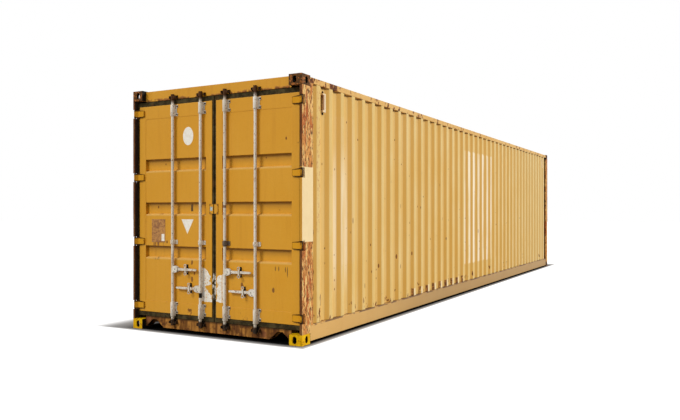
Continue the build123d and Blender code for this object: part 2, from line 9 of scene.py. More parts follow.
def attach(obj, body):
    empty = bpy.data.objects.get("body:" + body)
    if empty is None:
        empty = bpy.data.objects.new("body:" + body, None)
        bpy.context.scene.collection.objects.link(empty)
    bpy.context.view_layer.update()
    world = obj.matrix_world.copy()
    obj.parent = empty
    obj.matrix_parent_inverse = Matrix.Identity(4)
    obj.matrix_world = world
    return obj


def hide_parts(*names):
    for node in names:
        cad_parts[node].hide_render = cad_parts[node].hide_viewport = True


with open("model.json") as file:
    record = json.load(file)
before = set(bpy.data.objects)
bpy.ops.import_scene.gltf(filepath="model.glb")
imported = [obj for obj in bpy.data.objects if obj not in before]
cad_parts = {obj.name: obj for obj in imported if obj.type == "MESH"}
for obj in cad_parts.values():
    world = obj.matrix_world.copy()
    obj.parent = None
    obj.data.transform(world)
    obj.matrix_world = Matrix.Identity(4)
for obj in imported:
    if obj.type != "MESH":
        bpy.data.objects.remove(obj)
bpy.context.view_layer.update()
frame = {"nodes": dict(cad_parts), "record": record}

# Metres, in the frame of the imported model: Z up, the cargo doors at the -Y end, the lit side at +X.

nodes = frame["nodes"]

# Envelope and the sizes that the pressed sheets share with the CAD model
LENGTH = 12.192
WIDTH = 2.438
HEIGHT = 2.896
CASTING_LENGTH = 0.178
CASTING_HEIGHT = 0.118
HALF_WIDTH = WIDTH / 2
DOOR_END = -LENGTH / 2
SHEET = 0.002

# Faces of the door leaves and the middles of their recesses
DOOR_FACE = DOOR_END + 0.056
PANEL_FACE = DOOR_END + 0.059
RECESSES = (0.941, 1.464, 1.987)
RECESS_HALF = 0.074

# Lock bars: number, door leaf, place across, side that the handle points to, level of the handle
LOCKS = (
    (1, "door_left", -0.600, 1, 0.746),
    (2, "door_left", -0.177, -1, 0.529),
    (3, "door_right", 0.177, 1, 0.746),
    (4, "door_right", 0.600, -1, 0.529),
)
CAM_LEVEL = 0.132
GREASE_RADII = (0.050, 1.0, 0.046)

# Bar guides, hubs and handle catches: faces, levels, and where their bolts sit beside the bar
GUIDE_FACE = DOOR_FACE - 0.006
SHORT_GUIDE_FACE = PANEL_FACE - 0.006
HUB_FACE = DOOR_END + 0.012
LONG_GUIDES = ((2.561, 2.695), (0.215, 0.353))
SHORT_GUIDE_LEVEL = 1.067
CATCH_SPANS = ((0.475, 0.60), (0.685, 0.81))
GUIDE_BOLT_X = 0.049
GUIDE_BOLT_INSET = 0.018
SMALL_BOLT_X = -0.0265
SHORT_GUIDE_BOLT_X = 0.046
PIVOT_X = 0.048
HUB_RIVET_X = 0.014
HUB_RIVET_DROP = 0.026

# Plate over the seam between the doors
SEAM_FACE = DOOR_FACE - 0.006
SEAM_LEVEL = 1.457
SEAM_RIVET_RISE = 0.045
SEAM_RIVET_X = 0.052

# Middles of the hinges
HINGES = (0.285, 1.064, 1.843, 2.622)

# Ventilators: middles along the walls, span of the open slot, levels and face of the bolts
VENT_PLACES = (DOOR_END + 0.511, -DOOR_END - 0.477)
VENT_SLOT = (2.565, 2.735)
VENT_BOLTS = (2.768, 2.524)
VENT_BOLT_FACE = HALF_WIDTH - 0.044

# Side walls: outer face, flutes with the first crest's distance from the doors' end, and rails
WALL_FACE = HALF_WIDTH - 0.008
FLUTE_OUTER = 0.072
FLUTE_INNER = 0.070
FLUTE_SLOPE = 0.068
FLUTE_DEPTH = 0.036
FLUTE_PITCH = FLUTE_OUTER + FLUTE_INNER + 2 * FLUTE_SLOPE
FIRST_FLAT = 0.090
FLUTE_CREST = CASTING_LENGTH + FIRST_FLAT + FLUTE_SLOPE
RAIL_TOP = 0.199
RAIL_UNDER = 2.820

# Mesh of the side walls: curve at each corner of a flute, rows, and the slight wave of the sheet
CORNER_REACH = 0.012
CORNER_STEPS = 3
WALL_ROWS = 30
WAVE = 0.0015
WAVE_SPARE = 0.004

# Dents: distance from the doors' end, level, radius and depth. The last two are in both side walls.
DENTS = [
    (3.01, 0.27, 0.12, 0.008),
    (3.9, 0.26, 0.10, 0.007),
    (5.2, 0.28, 0.14, 0.009),
    (2.1, 0.9, 0.16, 0.005),
    (7.4, 0.6, 0.2, 0.006),
]

# Bolt and rivet heads: radius and height of each kind, and the rings of a head as shares of these
GUIDE_BOLT = (0.010, 0.008)
SMALL_BOLT = (0.0034, 0.004)
VENT_BOLT = (0.013, 0.010)
RIVET = (0.006, 0.003)
PLATE_RIVET = (0.004, 0.002)
STUD_SIDES = 10
STUD_RINGS = ((1.0, 0.0), (1.0, 0.5), (0.78, 0.9), (0.35, 1.0))

# Limits that keep a mark on the right side wall, or on the front of the doors
RIGHT_SIDE = (1.0, 1.3)
FRONT = (-7, -5.9)

# Places of marks on the doors: rust spots, and scratches with their half length
RUST_SPOTS = ((-0.33, 0.83), (0.40, 0.60), (0.82, 0.572), (-0.33, 0.635))
SCRATCHES = ((0.846, 0.805, 0.025), (0.889, 0.805, 0.025), (0.978, 0.80, 0.03), (1.003, 0.775, 0.055))

# Thin patches on the left door: corners or middle and radii, in X and Z
PLATE = (-0.960, -0.744, 1.057, 1.335)
PLATE_PATCH = (-0.802, -0.757, 1.073, 1.158)
PLATE_THICKNESS = 0.0015
PLATE_RIVET_INSET = 0.008
PATCH_THICKNESS = 0.0006
OVAL_MIDDLE = (-0.388, 2.316)
OVAL_RADII = (0.078, 0.107)
OVAL_POINTS = 40
TRIANGLE = [(-0.399, 1.165), (-0.306, 1.336), (-0.489, 1.336)]
SEAM_PATCH = [(-0.052, 1.440), (-0.020, 1.434), (-0.016, 1.480), (-0.048, 1.486)]

# Torn film beside the seam: cell of its grid, gap to the door, edge of the door's stile, tears and holes
FILM_CELL = 0.004
FILM_LIFT = 0.0004
STILE_EDGE = 0.115
TEAR = 0.012
TEAR_SCALE = 45
HOLE_SCALE = 80
HOLE_LIMIT = 0.42
LEFT_FILM = [
    (-0.190, 0.383), (-0.028, 0.383), (-0.028, 0.446), (-0.080, 0.500), (-0.135, 0.555),
    (-0.035, 0.595), (-0.075, 0.630), (-0.050, 0.668), (-0.075, 0.715), (-0.110, 0.750),
    (-0.150, 0.775), (-0.190, 0.780),
]
RIGHT_FILM = [
    (0.032, 0.395), (0.168, 0.378), (0.168, 0.718), (0.130, 0.720), (0.090, 0.706), (0.055, 0.680),
    (0.032, 0.630), (0.055, 0.590), (0.036, 0.540), (0.046, 0.470),
]

# Widths of the soft edges of the CAD nodes that are cast, forged or pressed
SOFT_EDGES = {
    0.0015: ("door_left_fittings", "door_right_fittings"),
    0.003: (
        "door_left_hinge_blades", "door_right_hinge_blades", "door_left_frame", "door_right_frame",
        "door_sill",
    ),
    0.004: (
        "castings_bottom_doors", "castings_bottom_front", "castings_top_doors", "castings_top_front",
        "bottom_side_rail_left", "bottom_side_rail_right", "door_header",
    ),
    0.005: ("top_side_rail_left", "top_side_rail_right"),
    0.006: ("door_left_panel", "door_right_panel"),
    0.008: ("roof",),
    0.010: ("front_wall",),
}

# Floor boards: half of their width and length
BOARD_HALF_WIDTH = 0.2
BOARD_HALF_LENGTH = 1.2

# Camera
CAMERA_PLACE = (5.024, -12.204, 1.433)
CAMERA_TURN = math.radians(28.69)
CAMERA_LENS = 36.03
CAMERA_SHIFT_Y = 0.0016

# Lights: direction, angle in degrees and strength of each sun, and the strength of the world
KEY_SUN = ((-0.68, -0.50, -0.45), 12, 2.8)
FRONT_SUN = ((0.40, 0.65, -0.62), 18, 1.85)
WORLD_LIGHT = 0.5

# Ground: half of its side, and how far the shade reaches from each side of the container
GROUND_REACH = 80.0
SHADE_RIGHT = 0.11
SHADE_LEFT = 0.65
SHADE_DOORS = 0.14
SHADE_FAR_END = 0.85

# Paint and rust colours, sRGB
YELLOW = (217, 153, 30)
YELLOW_DEEP = (192, 124, 12)
YELLOW_PALE = (226, 170, 62)
SUN_YELLOW = (221, 189, 117)
SUN_PALE = (229, 208, 150)
SUN_DEEP = (202, 154, 68)
CREAM = (240, 217, 168)
RECESS_SHADE = (112, 70, 12)
RUST_DARK = (52, 27, 12)
RUST_BROWN = (98, 50, 20)
RUST_ORANGE = (176, 98, 42)
DARK_STEEL = (58, 36, 20)
NEARLY_BLACK = (22, 18, 13)
SUN_PAINT = (SUN_YELLOW, SUN_PALE, SUN_DEEP)
FULL_PAINT = (YELLOW, YELLOW_PALE, YELLOW_DEEP)


def linear(rgb):
    """Linear colour from sRGB numbers of 0 to 255."""
    channels = []
    for value in rgb:
        share = value / 255
        channels.append(share / 12.92 if share <= 0.04045 else ((share + 0.055) / 1.055) ** 2.4)
    return (*channels, 1.0)


def from_doors(*distances):
    """Places along Y at distances from the doors' end."""
    return tuple(DOOR_END + distance for distance in distances)


# Materials

class Graph:
    """Nodes of one procedural material, worked from the frame's coordinates at rest."""

    def __init__(self, name):
        self.material = bpy.data.materials.new(name)
        self.material.use_nodes = True
        self.tree = self.material.node_tree
        self.shader = self.tree.nodes["Principled BSDF"]
        self.place = self.add("ShaderNodeTexCoord").outputs["Object"]
        self.colour = None

    def add(self, kind):
        return self.tree.nodes.new(kind)

    def put(self, socket, value):
        """Link a socket, or set it to a plain value."""
        if isinstance(value, bpy.types.NodeSocket):
            self.tree.links.new(value, socket)
        else:
            socket.default_value = value

    def maths(self, operation, a, b=0.0):
        node = self.add("ShaderNodeMath")
        node.operation = operation
        self.put(node.inputs[0], a)
        self.put(node.inputs[1], b)
        return node.outputs[0]

    def chain(self, operation, values):
        """One operation applied to several values in turn."""
        result = values[0]
        for value in values[1:]:
            result = self.maths(operation, result, value)
        return result

    def times(self, *values):
        return self.chain("MULTIPLY", values)

    def most(self, *values):
        return self.chain("MAXIMUM", values)

    def least(self, *values):
        return self.chain("MINIMUM", values)

    def minus(self, a, b):
        return self.maths("SUBTRACT", a, b)

    def absolute(self, value):
        return self.maths("ABSOLUTE", value)

    def inverse(self, value):
        return self.minus(1.0, value)

    def vector(self, operation, a, b, output="Vector"):
        node = self.add("ShaderNodeVectorMath")
        node.operation = operation
        self.put(node.inputs[0], a)
        if b is not None:
            self.put(node.inputs[1], b)
        return node.outputs[output]

    def axes(self, source=None):
        """X, Y and Z of the place, or of other coordinates."""
        split = self.add("ShaderNodeSeparateXYZ")
        self.put(split.inputs[0], self.place if source is None else source)
        return split.outputs

    def noise(self, scale, detail=3.0, stretch=(1, 1, 1), shift=0.0, output="Fac"):
        node = self.add("ShaderNodeTexNoise")
        moved = self.vector("ADD", self.place, (shift, shift * 0.7, shift * 1.3))
        self.put(node.inputs["Vector"], self.vector("MULTIPLY", moved, stretch))
        self.put(node.inputs["Scale"], scale)
        self.put(node.inputs["Detail"], detail)
        self.put(node.inputs["Roughness"], 0.6)
        return node.outputs[output]

    def step(self, value, low, high):
        """0 below low, 1 above high, smooth between them."""
        node = self.add("ShaderNodeMapRange")
        node.interpolation_type = "SMOOTHSTEP"
        self.put(node.inputs["Value"], value)
        self.put(node.inputs["From Min"], low)
        self.put(node.inputs["From Max"], high)
        return node.outputs["Result"]

    def below(self, value, low, high):
        """1 below low, 0 above high, smooth between them."""
        return self.inverse(self.step(value, low, high))

    def span(self, value, rise, fall):
        """Mask that rises between one pair of limits and falls between another."""
        return self.times(self.step(value, *rise), self.below(value, *fall))

    def blots(self, low, high, scale, detail=3.0, stretch=(1, 1, 1), shift=0.0):
        """Mask of the places where noise is high."""
        return self.step(self.noise(scale, detail, stretch, shift), low, high)

    def mix(self, factor, a, b):
        node = self.add("ShaderNodeMix")
        node.data_type = "RGBA"
        self.put(node.inputs[0], factor)
        self.put(node.inputs[6], a)
        self.put(node.inputs[7], b)
        return node.outputs[2]

    def blend(self, mask, first, second):
        """Mix of two sRGB colours."""
        return self.mix(mask, linear(first), linear(second))

    def lay(self, mask, other):
        """Lay another colour over the colour so far, through a mask."""
        self.colour = self.mix(mask, self.colour, other)

    def tint(self, mask, rgb, strength=1.0):
        """Lay an sRGB colour over the colour so far, through a mask."""
        if strength < 1.0:
            mask = self.times(mask, strength)
        self.lay(mask, linear(rgb))

    def uneven(self, size, scale):
        """Coordinates shifted by noise, for ragged outlines."""
        colour = self.noise(scale, 4.0, output="Color")
        centred = self.vector("SUBTRACT", colour, (0.5, 0.5, 0.5))
        return self.vector("ADD", self.place, self.vector("MULTIPLY", centred, (size, size, size)))

    def patch(self, ranges, blur=0.02, size=0.08, scale=6.0):
        """Mask of a box with ragged edges. Ranges holds (low, high) for the axes that bound it."""
        axes = self.axes(self.uneven(size, scale))
        sides = []
        for axis, (low, high) in ranges.items():
            sides.append(self.span(axes[axis], (low - blur, low + blur), (high - blur, high + blur)))
        return self.times(*sides)

    def oval(self, centre, radii, blur=0.06, size=0.02):
        """Mask of an ellipsoid with a slightly ragged rim."""
        away = self.vector("SUBTRACT", self.uneven(size, 14.0), centre)
        length = self.vector("LENGTH", self.vector("DIVIDE", away, radii), None, "Value")
        return self.below(length, 1.0 - blur, 1.0 + blur)

    def specks(self, scale, size, share, stretch=(1, 1, 0.5)):
        """Scattered small dots: a share of the cells of a grid of points holds one each."""
        node = self.add("ShaderNodeTexVoronoi")
        self.put(node.inputs["Vector"], self.vector("MULTIPLY", self.place, stretch))
        self.put(node.inputs["Scale"], scale)
        split = self.add("ShaderNodeSeparateColor")
        self.put(split.inputs[0], node.outputs["Color"])
        chosen = self.step(split.outputs[0], 1.0 - share, 1.001 - share)
        reach = self.times(split.outputs[1], size)
        near = self.step(self.minus(reach, node.outputs["Distance"]), 0.0, size * 0.25)
        return self.times(chosen, near)

    def edge(self, radius):
        """Mask of the corners and edges of the shape."""
        bevel = self.add("ShaderNodeBevel")
        bevel.samples = 4
        self.put(bevel.inputs["Radius"], radius)
        surface = self.add("ShaderNodeNewGeometry").outputs["Normal"]
        turned = self.vector("DOT_PRODUCT", bevel.outputs["Normal"], surface, "Value")
        return self.below(turned, 0.8, 0.99)

    def finish(self, roughness, height=None, strength=0.3, distance=0.002, shine=0.5, metallic=0.0):
        """Join the colour, roughness and bumps to the shader."""
        self.put(self.shader.inputs["Base Color"], self.colour)
        self.put(self.shader.inputs["Roughness"], roughness)
        self.put(self.shader.inputs["Specular IOR Level"], shine)
        self.put(self.shader.inputs["Metallic"], metallic)
        if height is not None:
            bump = self.add("ShaderNodeBump")
            self.put(bump.inputs["Strength"], strength)
            self.put(bump.inputs["Distance"], distance)
            self.put(bump.inputs["Height"], height)
            self.put(self.shader.inputs["Normal"], bump.outputs["Normal"])
        return self.material


def rust_colour(graph):
    """Brown and orange rust in small clouds."""
    fine = graph.blots(0.45, 0.75, 38.0, 5.0)
    coarse = graph.blots(0.35, 0.65, 7.0, 3.0, shift=3.0)
    return graph.mix(fine, graph.blend(coarse, RUST_DARK, RUST_BROWN), linear(RUST_ORANGE))


def painted(
    name, main, pale, deep, edge_rust, spots, streaks, fade, roughness,
    worn=(), rusty=(), layers=(), speckled=0.0, shine=0.3,
):
    """Old paint on steel: faded clouds, rain streaks, rust at edges and in spots.

    Worn is a list of (ranges, colour, strength) where another colour shows, rusty a list
    of (ranges, share) where rust breaks through, and layers has functions that add to the colour.
    """
    graph = Graph(name)
    clouds = graph.blots(0.35, 0.7, 1.1, 4.0, shift=1.0)
    graph.colour = graph.blend(graph.times(clouds, fade), main, pale)
    rain = graph.blots(0.5, 0.72, 5.0, 4.0, (3, 3, 0.22), shift=5.0)
    graph.tint(rain, deep, streaks)
    light_rain = graph.blots(0.55, 0.75, 7.0, 3.0, (4, 4, 0.3), shift=9.0)
    graph.tint(light_rain, pale, streaks * 0.6)
    grain = graph.blots(0.4, 0.8, 60.0, 4.0, shift=2.0)
    graph.tint(grain, deep, 0.18)
    for ranges, other, strength in worn:
        ragged = graph.blots(0.3, 0.5, 14.0, 5.0, shift=7.0)
        graph.tint(graph.times(graph.patch(ranges), ragged), other, strength)
    for layer in layers:
        layer(graph)
    ragged = graph.blots(0.62 - 0.3 * edge_rust, 0.75, 16.0, 5.0, shift=4.0)
    rim = graph.times(graph.edge(0.012), ragged, min(1.0, edge_rust * 1.4))
    spot = graph.blots(0.80 - 0.14 * spots, 0.84 - 0.12 * spots, 24.0, 3.0, (1, 1, 0.7), shift=11.0)
    cluster = graph.blots(0.42, 0.62, 1.7, 2.0, shift=13.0)
    rust = graph.most(rim, graph.times(spot, cluster))
    if speckled:
        rust = graph.most(rust, graph.specks(7.0, 0.11, speckled), graph.specks(17.0, 0.16, speckled * 0.6))
    for ranges, share in rusty:
        limits = (0.72 - 0.5 * share, 0.80 - 0.5 * share)
        broken = graph.blots(*limits, 11.0, 6.0, (1, 1, 0.6), shift=17.0)
        rust = graph.most(rust, graph.times(graph.patch(ranges), broken))
    graph.tint(graph.step(rust, 0.02, 0.5), RUST_ORANGE, 0.45)
    graph.lay(rust, rust_colour(graph))
    roughness_map = graph.mix(rust, (roughness,) * 3 + (1,), (0.92, 0.92, 0.92, 1))
    height = graph.maths("ADD", graph.times(graph.noise(70.0, 4.0), 0.25), graph.times(rust, 0.8))
    return graph.finish(roughness_map, height, strength=0.35, distance=0.0015, shine=shine)


def plain_material(name, main, other, scale, roughness, metallic=0.0):
    """Mottled finish of two colours."""
    graph = Graph(name)
    graph.colour = graph.blend(graph.blots(0.35, 0.7, scale, 5.0), main, other)
    speck = graph.blots(0.6, 0.8, scale * 6, 3.0, shift=4.0)
    graph.tint(speck, tuple(c * 0.6 for c in main), 0.4)
    return graph.finish(roughness, graph.noise(scale * 5, 4.0), shine=0.12, metallic=metallic)


def floor_plywood():
    """Boards of oiled plywood with dark joints and long grain."""
    graph = Graph("floor_plywood")
    grain = graph.noise(9.0, 6.0, (6, 0.5, 6))
    graph.colour = graph.blend(graph.step(grain, 0.3, 0.7), (92, 62, 38), (132, 94, 58))
    scuffs = graph.blots(0.55, 0.75, 3.0, 5.0, (1, 0.3, 1), shift=5.0)
    graph.tint(scuffs, (150, 120, 88), 0.4)
    axes = graph.axes()
    across = graph.maths("PINGPONG", graph.maths("ADD", axes["X"], 4.0), BOARD_HALF_WIDTH)
    along = graph.maths("PINGPONG", graph.maths("ADD", axes["Y"], 12.0), BOARD_HALF_LENGTH)
    joint = graph.below(graph.least(across, along), 0.001, 0.004)
    graph.tint(joint, NEARLY_BLACK)
    return graph.finish(0.65, graph.minus(graph.times(grain, 0.4), joint), strength=0.5)


def flute_masks(graph):
    """Masks of all behind the outer flats of the flutes, of the slopes and of the deep flats."""
    across = graph.absolute(graph.axes()["X"])
    near_face = (WALL_FACE - 0.007, WALL_FACE - 0.002)
    near_bottom = (WALL_FACE - FLUTE_DEPTH - 0.001, WALL_FACE - FLUTE_DEPTH + 0.006)
    recessed = graph.below(across, *near_face)
    slope = graph.times(recessed, graph.step(across, *near_bottom))
    return recessed, slope, graph.below(across, *near_bottom)


def flute_shade_and_tone(graph):
    """Painted shade on the slopes and deep flats and under the rail; deeper colour near the doors and paler
    at the far end.
    """
    axes = graph.axes()
    recessed, slope, deep = flute_masks(graph)
    # Painted shade: the slopes and the deep flats are darker than the outer flats.
    graph.tint(slope, (224, 164, 58), 0.75)
    graph.tint(deep, (214, 166, 84), 0.5)
    graph.tint(graph.below(axes["Y"], *from_doors(2.0, 8.0)), SUN_DEEP, 0.2)
    graph.tint(graph.step(axes["Y"], DOOR_END + 6.0, -DOOR_END), SUN_PALE, 0.35)
    # Painted shadow under the top rail, on the recessed parts of the wall.
    shaded = graph.times(recessed, graph.step(axes["Z"], RAIL_UNDER - 0.020, RAIL_UNDER - 0.010))
    graph.tint(shaded, (104, 66, 28), 0.8)


def sunlit_flat_bands(graph):
    """Painted light: the flats of two bands of the right wall are brighter, as the sun lights them more."""
    axes = graph.axes()
    near = graph.patch({"Y": from_doors(0.72, 1.11), "Z": (0.30, 2.50)}, 0.02, 0.03)
    far = graph.patch({"Y": from_doors(5.46, 7.20), "Z": (0.50, 2.50)}, 0.02, 0.05)
    soft_ends = graph.span(axes["Z"], (0.35, 0.9), (1.7, 2.3))
    bright = graph.most(graph.times(near, soft_ends, 0.5), graph.times(far, 0.95))
    flat = graph.times(graph.inverse(flute_masks(graph)[1]), graph.step(axes["X"], 0.0, 0.1))
    uneven_sun = graph.blots(0.30, 0.6, 2.2, 3.0, (1, 2, 0.3), shift=18.0)
    # Painted light on the flats within the two bands.
    graph.tint(graph.times(flat, bright, uneven_sun), (243, 228, 196))


def wall_wear(graph):
    """Red flecks, a scrape and brown spots near the doors, scratches and dots along the wall."""
    red = graph.blots(0.57, 0.62, 55.0, 4.0, (1, 1, 0.4), shift=27.0)
    near_corner = graph.patch({"Y": from_doors(0.335, 0.43), "Z": (1.2, 2.75)}, 0.02, 0.03)
    graph.tint(graph.times(near_corner, red), (176, 92, 50), 0.7)
    scrape = graph.patch({"Y": from_doors(0.40, 0.47), "Z": (0.38, 0.50)}, 0.01, 0.08, 14.0)
    graph.tint(scrape, (122, 86, 54), 0.85)
    for z in (1.199, 0.768, 0.592):
        spot = graph.oval((HALF_WIDTH, DOOR_END + 0.285, z), (1.0, 0.014, 0.040), blur=0.3, size=0.03)
        graph.tint(spot, (122, 66, 20), 0.85)
    scratch = graph.specks(9.0, 0.20, 0.3, (1, 1, 0.45))
    scuffed = graph.patch({"Y": from_doors(1.2, 6.6), "Z": (0.25, 1.75)}, 0.4, 0.5)
    dot = graph.specks(17.0, 0.20, 0.3, (1, 1, 0.6))
    low = graph.below(graph.axes()["Z"], 0.45, 1.15)
    marks = graph.most(graph.times(scratch, scuffed), graph.times(dot, low))
    graph.tint(marks, (120, 66, 24), 0.9)


def foot_marks(graph):
    """Torn and bare places at the feet of the flutes, and a dark line where the wall meets its rail."""
    axes = graph.axes()
    ranges = {"X": RIGHT_SIDE, "Y": from_doors(2.95, 5.35), "Z": (0.19, 0.31)}
    foot = graph.patch(ranges, 0.006, 0.03, 14.0)
    along = graph.maths("ADD", axes["Y"], FLUTE_PITCH / 2 - DOOR_END - FLUTE_CREST)
    after_corner = graph.minus(graph.maths("MODULO", along, FLUTE_PITCH), FLUTE_PITCH / 2)
    torn = graph.span(after_corner, (-0.060, -0.040), (-0.003, 0.002))
    bare = graph.span(after_corner, (-0.002, 0.003), (0.040, 0.052))
    chipped = graph.blend(graph.blots(0.4, 0.6, 30.0, 4.0, shift=29.0), (84, 42, 10), (172, 112, 44))
    ragged = graph.blots(0.42, 0.48, 20.0, 5.0, (1, 1, 0.5), shift=31.0)
    graph.lay(graph.times(foot, torn, ragged), chipped)
    graph.tint(graph.times(foot, bare), (240, 220, 178), 0.8)
    graph.tint(graph.below(axes["Z"], 0.203, 0.209), (110, 74, 42), 0.8)


def door_stains(graph):
    """Rust that runs from the data plate, one dark stroke, rust spots and scratches."""
    drip = graph.blots(0.48, 0.58, 34.0, 4.0, (1, 1, 0.12), shift=21.0)
    for low, high in ((1.005, 1.062), (0.850, 0.872)):
        place = graph.patch({"X": (-0.935, -0.775), "Y": FRONT, "Z": (low, high)}, 0.012, 0.02)
        graph.tint(graph.times(place, drip), (104, 50, 18), 0.85)
    place = graph.patch({"X": (-0.93, -0.78), "Y": FRONT, "Z": (0.86, 1.03)}, 0.02, 0.02)
    graph.tint(graph.times(place, drip), (150, 84, 24), 0.3)
    stroke = graph.patch({"X": (-0.374, -0.340), "Y": FRONT, "Z": (1.43, 1.515)}, 0.004, 0.03, 9.0)
    graph.tint(stroke, NEARLY_BLACK, 0.9)
    for x, z in RUST_SPOTS:
        spot = graph.oval((x, DOOR_END, z), (0.016, 1.0, 0.03), blur=0.2, size=0.03)
        graph.tint(spot, (92, 44, 14), 0.8)
    for x, z, reach in SCRATCHES:
        scratch = graph.oval((x, DOOR_END, z), (0.006, 1.0, reach), blur=0.3, size=0.012)
        graph.tint(scratch, (70, 42, 18), 0.8)


def seam_rim_wear_and_shade(graph):
    """Dark rim of the plate over the seam between the doors: wear, and painted shade that outlines the
    raised plate.
    """
    axes = graph.axes()
    raised = graph.below(axes["Y"], DOOR_FACE - 0.003, DOOR_FACE - 0.002)
    from_middle = graph.absolute(graph.minus(axes["Z"], SEAM_LEVEL))
    across = graph.absolute(axes["X"])
    rim = graph.most(graph.step(from_middle, 0.051, 0.054), graph.step(across, 0.056, 0.059))
    # Wear and painted shade along the rim of the raised plate.
    graph.tint(graph.times(raised, rim), (104, 62, 14), 0.8)


def recess_lines(graph):
    """Painted highlight, with some wear, on the lower edge of each recess, and painted shade under its
    upper edge and at its right-hand end.
    """
    axes = graph.axes()
    level = axes["Z"]
    pressed = graph.span(graph.absolute(axes["X"]), (0.117, 0.119), (1.055, 1.057))
    deep = graph.step(axes["Y"], PANEL_FACE - 0.002, PANEL_FACE + 0.004)
    left_leaf_end = graph.span(axes["X"], (-0.150, -0.130), (0.0, 0.05))
    end = graph.most(left_leaf_end, graph.step(axes["X"], 1.030, 1.050))
    for middle in RECESSES:
        foot = middle - RECESS_HALF
        head = middle + RECESS_HALF
        # Painted highlight, with some wear, along the lower edge of the recess.
        lit = graph.span(level, (foot - 0.022, foot), (foot + 0.006, foot + 0.018))
        graph.tint(graph.times(lit, pressed), (232, 190, 112), 0.6)
        # Painted shade under the upper edge of the recess and at its right-hand end.
        under_head = graph.times(deep, graph.below(level, head, head + 0.003))
        shade = graph.times(graph.step(level, head - 0.110, head - 0.015), 0.45)
        line = graph.times(graph.step(level, head - 0.034, head - 0.014), 0.75)
        graph.tint(graph.times(under_head, graph.most(shade, line)), RECESS_SHADE)
        within = graph.times(under_head, graph.step(level, foot, foot + 0.004))
        graph.tint(graph.times(within, end), RECESS_SHADE, 0.6)


def peeling_post():
    """Door posts: tan paint that flakes off orange rust in upright flecks, with one cream patch."""
    graph = Graph("post_rusty")
    tone = graph.blots(0.4, 0.6, 9.0, 5.0, (1, 1, 0.3))
    graph.colour = graph.blend(tone, (208, 144, 74), (180, 98, 44))
    paint = graph.blots(0.50, 0.54, 24.0, 5.0, (1, 1, 0.22), shift=3.0)
    graph.tint(paint, (230, 186, 114))
    bloom = graph.blots(0.52, 0.60, 14.0, 5.0, (1, 1, 0.3), shift=8.0)
    graph.tint(bloom, (168, 92, 46), 0.5)
    fleck = graph.blots(0.525, 0.585, 64.0, 4.0, (1, 1, 0.28), shift=6.0)
    graph.tint(fleck, (66, 34, 16), 0.9)
    axes = graph.axes()
    across = graph.absolute(axes["X"])
    front = graph.below(axes["Y"], *from_doors(0.009, 0.013))
    left = graph.below(axes["X"], -0.5, 0.5)
    not_outer = graph.below(across, 1.2150, 1.2175)
    dark = graph.most(graph.times(front, 0.9), graph.times(left, not_outer, 0.85))
    brown = graph.blend(graph.noise(30.0, 5.0, (1, 1, 0.4)), (54, 29, 10), (120, 67, 26))
    graph.lay(dark, brown)
    repainted = graph.patch({"X": (1.18, 1.3), "Y": (-7, -5.8), "Z": (1.105, 1.905)}, 0.003, 0.01, 12.0)
    cream = graph.blend(graph.noise(8.0, 4.0), CREAM, (232, 204, 152))
    gold = graph.blend(graph.noise(12.0, 4.0), (196, 138, 36), (206, 148, 52))
    graph.lay(repainted, graph.mix(front, cream, gold))
    # Painted shade on the inner faces of the door posts, in the gap beside the door leaves.
    inner = graph.times(graph.below(across, 1.1903, 1.1908), graph.below(axes["Y"], 5.98, 5.99))
    graph.tint(inner, NEARLY_BLACK, 0.9)
    height = graph.minus(graph.times(paint, 0.6), graph.times(fleck, 0.8))
    return graph.finish(0.8, height, strength=0.5, shine=0.2)


def streaked_sill():
    """Sill with rust that runs down in upright streaks, darker along its top and at the greasy cams."""
    graph = Graph("sill_rusty")
    streak = graph.blots(0.4, 0.62, 16.0, 4.0, (1, 1, 0.12))
    graph.colour = graph.blend(streak, (108, 66, 26), (184, 126, 56))
    blotch = graph.blots(0.5, 0.62, 9.0, 5.0, shift=4.0)
    graph.tint(blotch, (84, 46, 22), 0.8)
    pink = graph.blots(0.55, 0.7, 4.0, 3.0, (1, 1, 0.5), shift=9.0)
    graph.tint(pink, (176, 110, 72), 0.5)
    graph.tint(graph.step(graph.axes()["Z"], 0.125, 0.150), (52, 34, 16), 0.7)
    for _, _, x, _, _ in LOCKS:
        grease = graph.oval((x, DOOR_END, CAM_LEVEL), GREASE_RADII, blur=0.3, size=0.03)
        graph.tint(grease, NEARLY_BLACK, 0.95)
    return graph.finish(0.85, graph.maths("ADD", streak, blotch), strength=0.4, shine=0.15)


def casting_finish(name, main, other, chipped, chip_share):
    """Brushed paint on a cast corner, with painted shade inside its hollow and on its inward faces."""
    graph = Graph(name)
    graph.colour = graph.blend(graph.blots(0.4, 0.7, 14.0, 4.0), main, other)
    chips = graph.blots(0.66 - chip_share * 0.2, 0.70 - chip_share * 0.2, 30.0, 5.0, shift=4.0)
    rim = graph.times(graph.edge(0.010), graph.blots(0.45, 0.55, 22.0, 5.0, shift=9.0))
    graph.tint(graph.most(chips, rim), chipped)
    axes = graph.axes()
    level = axes["Z"]
    if name == "casting_rusty":
        level = graph.minus(HEIGHT, level)
    depth_x = graph.minus(HALF_WIDTH, graph.absolute(axes["X"]))
    depth_y = graph.minus(LENGTH / 2, graph.absolute(axes["Y"]))
    nearest = graph.least(depth_x, depth_y, level, graph.minus(CASTING_HEIGHT, level))
    # Painted shade: the inside of the hollow and the inward faces are near black.
    inward = graph.most(graph.step(depth_x, 0.154, 0.158), graph.step(depth_y, 0.170, 0.174))
    hidden = graph.most(graph.step(nearest, 0.003, 0.011), inward)
    graph.tint(hidden, NEARLY_BLACK)
    return graph.finish(0.6, graph.noise(45.0, 5.0), strength=0.4, shine=0.1)


